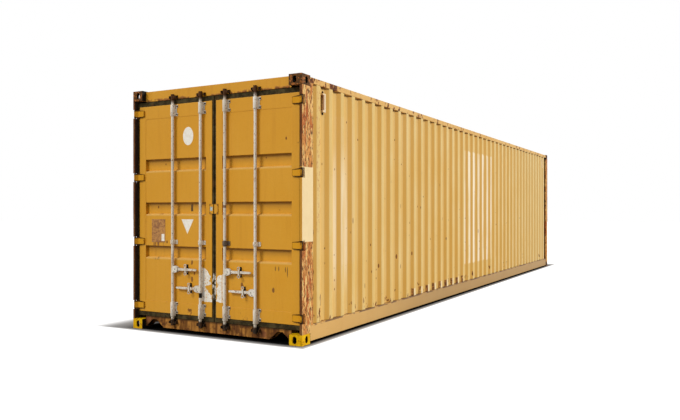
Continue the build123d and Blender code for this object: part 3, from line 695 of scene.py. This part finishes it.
def lock_finish():
    """Pale galvanised bars, speckled with rust, with dark cams at both ends, dark edges that are part rust
    and part painted shade, and painted shade behind the catches' rings.
    """
    graph = Graph("lock_paint")
    tone = graph.blots(0.35, 0.7, 9.0, 4.0, (1, 1, 0.3))
    graph.colour = graph.blend(tone, (220, 209, 189), (238, 231, 217))
    fleck = graph.blots(0.585, 0.635, 70.0, 4.0, (1, 1, 0.5), shift=3.0)
    graph.tint(fleck, (128, 84, 48), 0.75)
    stain = graph.blots(0.58, 0.68, 13.0, 5.0, (1, 1, 0.4), shift=5.0)
    graph.tint(stain, (168, 124, 80), 0.5)
    # Dark edges: part rust, part painted shade round the fittings.
    rim = graph.times(graph.edge(0.008), graph.blots(0.30, 0.45, 40.0, 4.0))
    graph.tint(rim, (84, 54, 30), 0.75)
    axes = graph.axes()
    level = axes["Z"]
    ends = graph.most(graph.below(level, 0.140, 0.172), graph.step(level, 2.725, 2.755))
    dark = graph.blend(graph.blots(0.4, 0.65, 34.0, 5.0), (24, 16, 8), (76, 46, 20))
    graph.lay(graph.times(ends, 0.98), dark)
    band = graph.patch({"X": (-0.21, -0.14), "Z": (0.428, 0.485)}, 0.003, 0.0)
    graph.tint(band, NEARLY_BLACK)
    ring = graph.patch({"X": (0.14, 0.21), "Z": (1.47, 1.50)}, 0.004, 0.01)
    graph.tint(ring, RUST_BROWN, 0.8)
    rusty_guide = graph.patch({"X": (0.1, 0.27), "Z": (1.03, 1.10)}, 0.004, 0.01)
    graph.tint(rusty_guide, DARK_STEEL, 0.85)
    graph.tint(graph.step(level, 2.69, 2.74), (86, 54, 28), 0.85)
    # Painted shade behind the rings of the handle catches.
    behind = graph.step(axes["Y"], *from_doors(0.0535, 0.0538))
    at_catch = graph.most(*(graph.patch({"Z": span}, 0.002, 0.0) for span in CATCH_SPANS))
    graph.tint(graph.times(behind, at_catch), NEARLY_BLACK)
    return graph.finish(0.6, graph.noise(60.0, 4.0), strength=0.25, shine=0.08)


def gasket_finish():
    """Dull dark rubber with dust and rust stains, scuffed pale beside the torn film."""
    graph = Graph("seal_rubber")
    graph.colour = graph.blend(graph.blots(0.35, 0.7, 16.0, 5.0), (48, 40, 22), (84, 72, 44))
    stain = graph.blots(0.55, 0.7, 10.0, 5.0, shift=3.0)
    graph.tint(stain, (92, 62, 30), 0.6)
    scuffed = graph.patch({"X": (-0.03, 0.028), "Z": (0.41, 0.72)}, 0.01, 0.03)
    pale = graph.blots(0.45, 0.50, 40.0, 4.0, (1, 1, 0.6), shift=6.0)
    graph.tint(graph.times(scuffed, pale), (206, 198, 184))
    return graph.finish(0.9, graph.noise(50.0, 4.0), strength=0.4, shine=0.1)


def rail_shade(graph):
    """The low rail is browner than the high one, with a worn line along its top edge."""
    axes = graph.axes()
    low = graph.below(axes["Z"], 0.25, 0.30)
    blotch = graph.noise(3.0, 5.0, (1, 0.5, 1))
    near_tone = graph.blend(blotch, (200, 152, 80), (216, 172, 100))
    far_tone = graph.blend(blotch, (147, 111, 60), (160, 126, 75))
    tone = graph.mix(graph.step(axes["Y"], *from_doors(0.0, 4.5)), near_tone, far_tone)
    graph.lay(graph.times(low, 0.8), tone)
    top = graph.times(graph.step(axes["Z"], 0.183, 0.188), low)
    brown = graph.blots(0.42, 0.52, 12.0, 5.0, (1, 0.4, 1), shift=3.0)
    graph.tint(graph.times(top, brown), (92, 60, 34), 0.85)


def hinge_shade(graph):
    """Some rust on the barrels, painted shadow behind them, and a dark line round each strap that is
    painted shade with worn rust along its edges.
    """
    axes = graph.axes()
    across = graph.absolute(axes["X"])
    barrel = graph.step(across, 1.188, 1.192)
    mottled = graph.blots(0.46, 0.56, 34.0, 5.0, (1, 1, 0.5), shift=15.0)
    graph.tint(graph.times(barrel, mottled), (104, 60, 24), 0.45)
    away = graph.least(*(graph.absolute(graph.minus(axes["Z"], height)) for height in HINGES))
    # Painted shade: a dark outline round each strap.
    line = graph.step(away, 0.031, 0.036)
    rim = graph.times(graph.edge(0.018), graph.blots(0.20, 0.35, 26.0, 4.0, shift=12.0))
    graph.tint(graph.most(line, rim), (38, 20, 7), 0.95)
    # Painted shadow of the barrels on the posts behind them.
    behind = graph.times(graph.step(axes["Y"], *from_doors(0.013, 0.017)), graph.step(across, 1.203, 1.206))
    graph.tint(behind, NEARLY_BLACK, 0.95)


def header_line(graph):
    """Worn dark line along the top edge of the frame over the doors."""
    top = graph.step(graph.axes()["Z"], HEIGHT - 0.014, HEIGHT - 0.008)
    worn = graph.blots(0.35, 0.5, 9.0, 5.0, shift=3.0)
    graph.tint(graph.times(top, graph.edge(0.012), worn), (62, 36, 14), 0.9)


def vent_finish():
    """Pale moulded hood, with dark brown painted shade on the half that carries its open slot."""
    graph = Graph("vent_plastic")
    graph.colour = graph.blend(graph.noise(20.0, 4.0), (212, 184, 138), (232, 210, 172))
    slot_shade = graph.blend(graph.noise(26.0, 4.0, (1, 1, 0.4)), (112, 66, 22), (160, 106, 46))
    for centre in VENT_PLACES:
        slot = graph.patch({"Y": (centre - 0.04, centre - 0.004), "Z": VENT_SLOT}, 0.003, 0.006, 20.0)
        # Painted shade in the open slot.
        graph.lay(slot, slot_shade)
    graph.tint(graph.edge(0.004), (110, 76, 44), 0.6)
    return graph.finish(0.6, graph.noise(60.0, 3.0))


def plate_finish():
    """Tarnished data plate, bare of marks, mottled brown."""
    graph = Graph("tarnished_plate")
    graph.colour = graph.blend(graph.blots(0.4, 0.65, 22.0, 5.0), (190, 136, 70), (142, 92, 50))
    spot = graph.blots(0.56, 0.64, 60.0, 4.0, shift=4.0)
    graph.tint(spot, (98, 58, 32), 0.7)
    graph.tint(graph.edge(0.006), (74, 44, 24), 0.7)
    return graph.finish(0.6, graph.noise(80.0, 4.0), strength=0.5, metallic=0.3)


SIDE_PATCHES = [
    ({"X": RIGHT_SIDE, "Y": from_doors(0.76, 1.22), "Z": (0.80, 2.54)}, (224, 192, 134), 0.55),
    ({"X": RIGHT_SIDE, "Y": from_doors(5.46, 7.20), "Z": (0.50, 2.50)}, (240, 216, 160), 0.25),
]

finishes = {
    "wall_paint": painted(
        "wall_paint", *SUN_PAINT, edge_rust=0.05, spots=0.25, streaks=0.25, fade=0.6, roughness=0.6,
        worn=SIDE_PATCHES, layers=(flute_shade_and_tone, sunlit_flat_bands, wall_wear, foot_marks),
        speckled=0.22, rusty=[({"Z": (0.19, 0.36)}, 0.24)], shine=0.2,
    ),
    "roof_paint": painted(
        "roof_paint", *SUN_PAINT, edge_rust=0.3, spots=0.6, streaks=0.2, fade=0.8, roughness=0.6,
        speckled=0.15,
    ),
    "door_paint": painted(
        "door_paint", *FULL_PAINT, edge_rust=0.3, spots=0.2, streaks=0.2, fade=0.25, roughness=0.45,
        layers=(door_stains, seam_rim_wear_and_shade, recess_lines), speckled=0.12, rusty=[({"Z": (0.2, 0.30)}, 0.22)],
    ),
    "shell_paint": painted(
        "shell_paint", *FULL_PAINT, edge_rust=0.6, spots=0.3, streaks=0.3, fade=0.2, roughness=0.45,
        rusty=[({"Z": (2.75, 2.776)}, 0.6)], speckled=0.1, layers=(header_line,),
    ),
    "rail_paint": painted(
        "rail_paint", (216, 168, 88), (228, 190, 120), (190, 132, 60), edge_rust=0.5, spots=0.3,
        streaks=0.2, fade=0.5, roughness=0.55, speckled=0.08, layers=(rail_shade,),
        rusty=[({"Y": (-6.0, -5.3), "Z": (2.7, 2.9)}, 0.52), ({"Z": (2.74, 2.9)}, 0.30)],
    ),
    "post_rusty": peeling_post(),
    "sill_rusty": streaked_sill(),
    "hinge_paint": painted(
        "hinge_paint", *FULL_PAINT, edge_rust=0.6, spots=0.5, streaks=0.3, fade=0.2, roughness=0.6,
        layers=(hinge_shade,), shine=0.08,
    ),
    "lock_paint": lock_finish(),
    "keeper_steel": plain_material("keeper_steel", (28, 19, 11), (66, 43, 22), 14.0, 0.8),
    "casting_yellow": casting_finish("casting_yellow", (214, 160, 0), (234, 186, 4), (120, 74, 12), 0.30),
    "casting_rusty": casting_finish("casting_rusty", (72, 48, 20), (112, 70, 28), (168, 100, 44), 0.6),
    "base_paint": plain_material("base_paint", (34, 29, 24), (58, 46, 34), 9.0, 0.8),
    "bare_steel": plain_material("bare_steel", DARK_STEEL, (92, 60, 36), 40.0, 0.75, metallic=0.2),
    "vent_plastic": vent_finish(),
    "seal_rubber": gasket_finish(),
    "floor_plywood": floor_plywood(),
}
BLACK_BOLT = plain_material("bolt_black", (30, 22, 16), (66, 44, 28), 60.0, 0.6)
WORN_STEEL = plain_material("bolt_worn", (150, 122, 92), (196, 176, 146), 60.0, 0.5)
PALE_LABEL = plain_material("label_pale", (250, 246, 234), (238, 230, 212), 30.0, 0.6)
BLUE_LABEL = plain_material("label_blue", (196, 214, 212), (112, 150, 158), 60.0, 0.6)
TORN_FILM = plain_material("film_torn", (248, 243, 230), (228, 219, 202), 26.0, 0.7)
TARNISHED = plate_finish()


def dress_cad_nodes():
    """Every CAD node takes the finish that the record names for it."""
    for row in frame["record"]["subparts"]:
        mesh = nodes[row["node"]].data
        mesh.materials.clear()
        mesh.materials.append(finishes[row["material_slot"]])


# Meshes

def show(name, data):
    """New object in the scene."""
    thing = bpy.data.objects.new(name, data)
    bpy.context.scene.collection.objects.link(thing)
    return thing


def link(name, mesh, body, slot, material=None, smooth=False):
    """Object for a mesh that is already in place, riding on a body."""
    piece = show(name, mesh)
    mesh.materials.append(material or finishes[slot])
    for polygon in mesh.polygons:
        polygon.use_smooth = smooth
    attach(piece, body)
    return piece


def mesh_of(shape, name):
    """Mesh of a finished shape, which is freed."""
    mesh = bpy.data.meshes.new(name)
    shape.to_mesh(mesh)
    shape.free()
    return mesh


def rounded(points):
    """Open line with each inner corner turned into a short curve."""
    corners = [Vector((*point, 0)) for point in points]
    line = [corners[0]]
    for before, corner, after in zip(corners, corners[1:], corners[2:]):
        start = corner + (before - corner).normalized() * CORNER_REACH
        end = corner + (after - corner).normalized() * CORNER_REACH
        for i in range(CORNER_STEPS + 1):
            t = i / CORNER_STEPS
            line.append(start * (1 - t) ** 2 + corner * 2 * t * (1 - t) + end * t ** 2)
    line.append(corners[-1])
    return [(point.x, point.y) for point in line]


def wall_profile():
    """Points (along, depth) of the trapezoid flutes of a side wall, as in the CAD model."""
    start = DOOR_END + CASTING_LENGTH
    end = -start
    points = [(start, FLUTE_DEPTH)]
    for i in range(int((end - start - FIRST_FLAT) / FLUTE_PITCH)):
        rise = start + FIRST_FLAT + i * FLUTE_PITCH
        points += [
            (rise, FLUTE_DEPTH),
            (rise + FLUTE_SLOPE, 0),
            (rise + FLUTE_SLOPE + FLUTE_OUTER, 0),
            (rise + 2 * FLUTE_SLOPE + FLUTE_OUTER, FLUTE_DEPTH),
        ]
    points.append((end, FLUTE_DEPTH))
    return points


def pushed_in(along, row, depth, dents):
    """Depth of a place on a side wall with its slight wave and its dents."""
    wave = WAVE * (1 + noise.noise(Vector((along * 2.3, row * 1.9, FLUTE_DEPTH * 40))))
    for distance, level, reach, push in dents:
        gap = math.hypot(along - (DOOR_END + distance), row - level)
        if gap < reach:
            wave += push * (1 - gap / reach) ** 2
    return min(depth + wave, FLUTE_DEPTH + WAVE_SPARE)


def side_wall_sheet(node, side, dents):
    """Pressed sheet of a side wall, fixed along its top and bottom rows, that replaces the plain one."""
    line = rounded(wall_profile())
    vertices = []
    for i in range(WALL_ROWS):
        row = RAIL_TOP + (RAIL_UNDER - RAIL_TOP) * i / (WALL_ROWS - 1)
        for along, depth in line:
            if 0 < i < WALL_ROWS - 1:
                depth = pushed_in(along, row, depth, dents)
            vertices.append((side * (WALL_FACE - depth - SHEET / 2), along, row))
    width = len(line)
    faces = []
    for i in range(WALL_ROWS - 1):
        for j in range(width - 1):
            first = i * width + j
            faces.append((first, first + 1, first + width + 1, first + width))
    mesh = bpy.data.meshes.new(f"{node}_sheet")
    mesh.from_pydata(vertices, [], faces)
    mesh.update()
    piece = link(f"{node}_sheet", mesh, "container", "wall_paint", smooth=True)
    thick = piece.modifiers.new("thickness", "SOLIDIFY")
    thick.thickness = SHEET
    thick.offset = 0
    shading = piece.modifiers.new("shading", "WEIGHTED_NORMAL")
    shading.keep_sharp = True
    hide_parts(node)


# Small parts that are bolted, riveted or stuck on

def stud(shape, centre, facing, radius, height):
    """Domed bolt head that faces along an axis."""
    out = Vector(facing)
    across = out.orthogonal().normalized()
    up = out.cross(across)
    rings = []
    for width, share in STUD_RINGS:
        ring = []
        for i in range(STUD_SIDES):
            angle = 2 * math.pi * i / STUD_SIDES
            offset = (across * math.cos(angle) + up * math.sin(angle)) * (radius * width)
            ring.append(shape.verts.new(Vector(centre) + offset + out * height * share))
        rings.append(ring)
    for low, high in zip(rings, rings[1:]):
        for i in range(STUD_SIDES):
            j = (i + 1) % STUD_SIDES
            shape.faces.new((low[i], low[j], high[j], high[i]))
    shape.faces.new(rings[-1])


def studs(name, places, size, body, slot, material=BLACK_BOLT, facing=(0, -1, 0)):
    """One mesh of many bolt heads."""
    shape = bmesh.new()
    for place in places:
        stud(shape, place, facing, *size)
    link(name, mesh_of(shape, name), body, slot, material, smooth=True)


def slab(name, outline, face, thickness, slot, material):
    """Thin plate on the left door with an outline in X and Z, flat on a face that looks to -Y."""
    shape = bmesh.new()
    back = [shape.verts.new((x, face, z)) for x, z in outline]
    front = [shape.verts.new((x, face - thickness, z)) for x, z in outline]
    shape.faces.new(front)
    for i in range(len(outline)):
        j = (i + 1) % len(outline)
        shape.faces.new((back[i], back[j], front[j], front[i]))
    bmesh.ops.recalc_face_normals(shape, faces=shape.faces[:])
    piece = link(name, mesh_of(shape, name), "door_left", slot, material)
    soft = piece.modifiers.new("soft edges", "BEVEL")
    soft.width = thickness * 0.4
    soft.segments = 2


def rectangle(x0, x1, z0, z1):
    return [(x0, z0), (x1, z0), (x1, z1), (x0, z1)]


def inside(point, outline):
    """Whether a point lies inside a closed outline."""
    x, z = point
    result = False
    for (x0, z0), (x1, z1) in zip(outline, outline[1:] + outline[:1]):
        if (z0 > z) != (z1 > z) and x < x0 + (z - z0) * (x1 - x0) / (z1 - z0):
            result = not result
    return result


def is_film(x, z, outline):
    """Whether film is left at a place: inside the torn outline, and not in a hole."""
    pull_x = noise.noise(Vector((x * TEAR_SCALE, 5.5, z * TEAR_SCALE))) * TEAR
    pull_z = noise.noise(Vector((x * TEAR_SCALE, 9.5, z * TEAR_SCALE))) * TEAR
    hole = noise.noise(Vector((x * HOLE_SCALE, 3, z * HOLE_SCALE))) > HOLE_LIMIT
    return inside((x + pull_x, z + pull_z), outline) and not hole


def torn_film(name, outline, body):
    """Remains of a peeled film on a door leaf, over its stile and panel."""
    shape = bmesh.new()
    corners = {}
    xs = [x for x, _ in outline]
    zs = [z for _, z in outline]

    def corner(i, j):
        if (i, j) not in corners:
            x = min(xs) + i * FILM_CELL
            face = DOOR_FACE if abs(x) < STILE_EDGE else PANEL_FACE
            corners[i, j] = shape.verts.new((x, face - FILM_LIFT, min(zs) + j * FILM_CELL))
        return corners[i, j]

    for i in range(int((max(xs) - min(xs)) / FILM_CELL) + 1):
        for j in range(int((max(zs) - min(zs)) / FILM_CELL) + 1):
            if is_film(min(xs) + (i + 0.5) * FILM_CELL, min(zs) + (j + 0.5) * FILM_CELL, outline):
                shape.faces.new((corner(i, j), corner(i + 1, j), corner(i + 1, j + 1), corner(i, j + 1)))
    link(name, mesh_of(shape, name), body, "door_paint", TORN_FILM)


def guide_fixings():
    """Bolts of the bar guides on both leaves."""
    for leaf in ("door_left", "door_right"):
        bolts = []
        small = []
        for _, owner, bar_x, _, _ in LOCKS:
            if owner != leaf:
                continue
            for low, high in LONG_GUIDES:
                for z in (low + GUIDE_BOLT_INSET, high - GUIDE_BOLT_INSET):
                    bolts.append((bar_x + GUIDE_BOLT_X, GUIDE_FACE, z))
                    small.append((bar_x + SMALL_BOLT_X, GUIDE_FACE, z))
            small.append((bar_x + SHORT_GUIDE_BOLT_X, SHORT_GUIDE_FACE, SHORT_GUIDE_LEVEL))
        studs(f"{leaf}_guide_bolts", bolts, GUIDE_BOLT, leaf, "lock_paint")
        studs(f"{leaf}_small_bolts", small, SMALL_BOLT, leaf, "lock_paint")


def hub_fixings():
    """Pin head and a rivet on the hub of each lock bar."""
    for number, _, bar_x, side, level in LOCKS:
        pivot = bar_x + side * PIVOT_X
        places = [(pivot, HUB_FACE, level), (pivot - side * HUB_RIVET_X, HUB_FACE, level - HUB_RIVET_DROP)]
        studs(f"bar_{number}_hub_rivets", places, RIVET, f"bar_{number}", "lock_paint")


def seam_fixings():
    """Four rivets through the two halves of the seam plate."""
    levels = (SEAM_LEVEL - SEAM_RIVET_RISE, SEAM_LEVEL + SEAM_RIVET_RISE)
    for leaf, side in (("door_left", -1), ("door_right", 1)):
        places = [(side * SEAM_RIVET_X, SEAM_FACE, z) for z in levels]
        studs(f"{leaf}_seam_rivets", places, RIVET, leaf, "door_paint")


def plates_and_patches():
    """Data plate with its patch and rivets, and the thin patches on the left door."""
    front = PANEL_FACE - PLATE_THICKNESS
    slab("data_plate", rectangle(*PLATE), PANEL_FACE, PLATE_THICKNESS, "bare_steel", TARNISHED)
    slab("data_plate_patch", rectangle(*PLATE_PATCH), front, PATCH_THICKNESS, "bare_steel", PALE_LABEL)
    x0, x1, z0, z1 = PLATE
    across = (x0 + PLATE_RIVET_INSET, x1 - PLATE_RIVET_INSET)
    levels = (z0 + PLATE_RIVET_INSET, z1 - PLATE_RIVET_INSET)
    rivets = [(x, front, z) for x in across for z in levels]
    studs("data_plate_rivets", rivets, PLATE_RIVET, "door_left", "bare_steel", WORN_STEEL)
    middle_x, middle_z = OVAL_MIDDLE
    wide, high = OVAL_RADII
    angles = [2 * math.pi * i / OVAL_POINTS for i in range(OVAL_POINTS)]
    oval = [(middle_x + wide * math.cos(angle), middle_z + high * math.sin(angle)) for angle in angles]
    slab("oval_patch", oval, PANEL_FACE, PATCH_THICKNESS, "door_paint", PALE_LABEL)
    slab("corner_patch", TRIANGLE, PANEL_FACE, PATCH_THICKNESS, "door_paint", PALE_LABEL)
    slab("seam_patch", SEAM_PATCH, SEAM_FACE, PATCH_THICKNESS, "door_paint", BLUE_LABEL)


def soften(node, width):
    """Small round edges: the mesh is joined along its seams and its sharp edges are bevelled."""
    piece = nodes[node]
    join = piece.modifiers.new("join", "WELD")
    join.merge_threshold = 0.00001
    edges = piece.modifiers.new("edges", "BEVEL")
    edges.width = width
    edges.segments = 2
    edges.limit_method = "ANGLE"
    edges.angle_limit = math.radians(35)
    edges.harden_normals = True


# Stage, lights and camera

def ground_material():
    """White ground, with painted shade under the container and soft painted shade beside it."""
    graph = Graph("ground")
    axes = graph.axes()
    sides = (
        (graph.minus(axes["X"], HALF_WIDTH), SHADE_RIGHT),
        (graph.minus(graph.times(axes["X"], -1.0), HALF_WIDTH), SHADE_LEFT),
        (graph.minus(DOOR_END, axes["Y"]), SHADE_DOORS),
        (graph.maths("ADD", DOOR_END, axes["Y"]), SHADE_FAR_END),
    )
    gap = graph.most(*(graph.maths("DIVIDE", away, reach) for away, reach in sides))
    path = graph.add("ShaderNodeLightPath")
    seen = graph.most(path.outputs["Is Camera Ray"], path.outputs["Is Glossy Ray"])
    graph.put(graph.shader.inputs["Emission Color"], (1, 1, 1, 1))
    # Painted shade: the ground's glow fades near the container.
    glow = graph.maths("POWER", graph.step(gap, 0.2, 1.0), 2.2)
    graph.put(graph.shader.inputs["Emission Strength"], graph.times(glow, seen))
    # Painted shade: near black under the container.
    under = graph.step(gap, -0.25, 0.45)
    shown = graph.mix(under, (0.004, 0.004, 0.004, 1), (0.34, 0.34, 0.34, 1))
    graph.colour = graph.mix(seen, (0.30, 0.29, 0.28, 1), shown)
    return graph.finish(1.0, shine=0.0)


def make_ground():
    mesh = bpy.data.meshes.new("ground")
    corners = rectangle(-GROUND_REACH, GROUND_REACH, -GROUND_REACH, GROUND_REACH)
    mesh.from_pydata([(x, y, 0) for x, y in corners], [], [(0, 1, 2, 3)])
    ground = show("ground", mesh)
    mesh.materials.append(ground_material())


def make_world():
    world = bpy.data.worlds.new("studio")
    world.use_nodes = True
    tree = world.node_tree
    background = tree.nodes["Background"]
    path = tree.nodes.new("ShaderNodeLightPath")
    seen = tree.nodes.new("ShaderNodeMath")
    seen.operation = "MAXIMUM"
    tree.links.new(path.outputs["Is Camera Ray"], seen.inputs[0])
    tree.links.new(path.outputs["Is Transmission Ray"], seen.inputs[1])
    shown = tree.nodes.new("ShaderNodeMapRange")
    tree.links.new(seen.outputs[0], shown.inputs["Value"])
    shown.inputs["To Min"].default_value = WORLD_LIGHT
    shown.inputs["To Max"].default_value = 1.0
    background.inputs["Color"].default_value = (1, 1, 1, 1)
    tree.links.new(shown.outputs["Result"], background.inputs["Strength"])
    bpy.context.scene.world = world


def make_sun(name, direction, angle, strength):
    data = bpy.data.lights.new(name, "SUN")
    data.angle = math.radians(angle)
    data.energy = strength
    show(name, data).rotation_euler = Vector(direction).to_track_quat("-Z", "Y").to_euler()


def make_camera():
    data = bpy.data.cameras.new("camera")
    data.sensor_width = 36
    data.lens = CAMERA_LENS
    data.shift_y = CAMERA_SHIFT_Y
    data.clip_end = 300
    camera = show("camera", data)
    camera.location = CAMERA_PLACE
    camera.rotation_euler = (math.radians(90), 0, CAMERA_TURN)
    bpy.context.scene.camera = camera


dress_cad_nodes()
side_wall_sheet("side_wall_right", 1, DENTS)
side_wall_sheet("side_wall_left", -1, DENTS[3:])
guide_fixings()
hub_fixings()
seam_fixings()
plates_and_patches()
torn_film("left_torn_film", LEFT_FILM, "door_left")
torn_film("right_torn_film", RIGHT_FILM, "door_right")
vent_places = [(VENT_BOLT_FACE, y, z) for y in VENT_PLACES for z in VENT_BOLTS]
studs("ventilator_bolts", vent_places, VENT_BOLT, "container", "vent_plastic", facing=(1, 0, 0))
for width, names in SOFT_EDGES.items():
    for node in names:
        soften(node, width)
make_ground()
make_world()
make_sun("key", *KEY_SUN)
make_sun("front fill", *FRONT_SUN)
make_camera()
bpy.context.scene.view_settings.view_transform = "Standard"
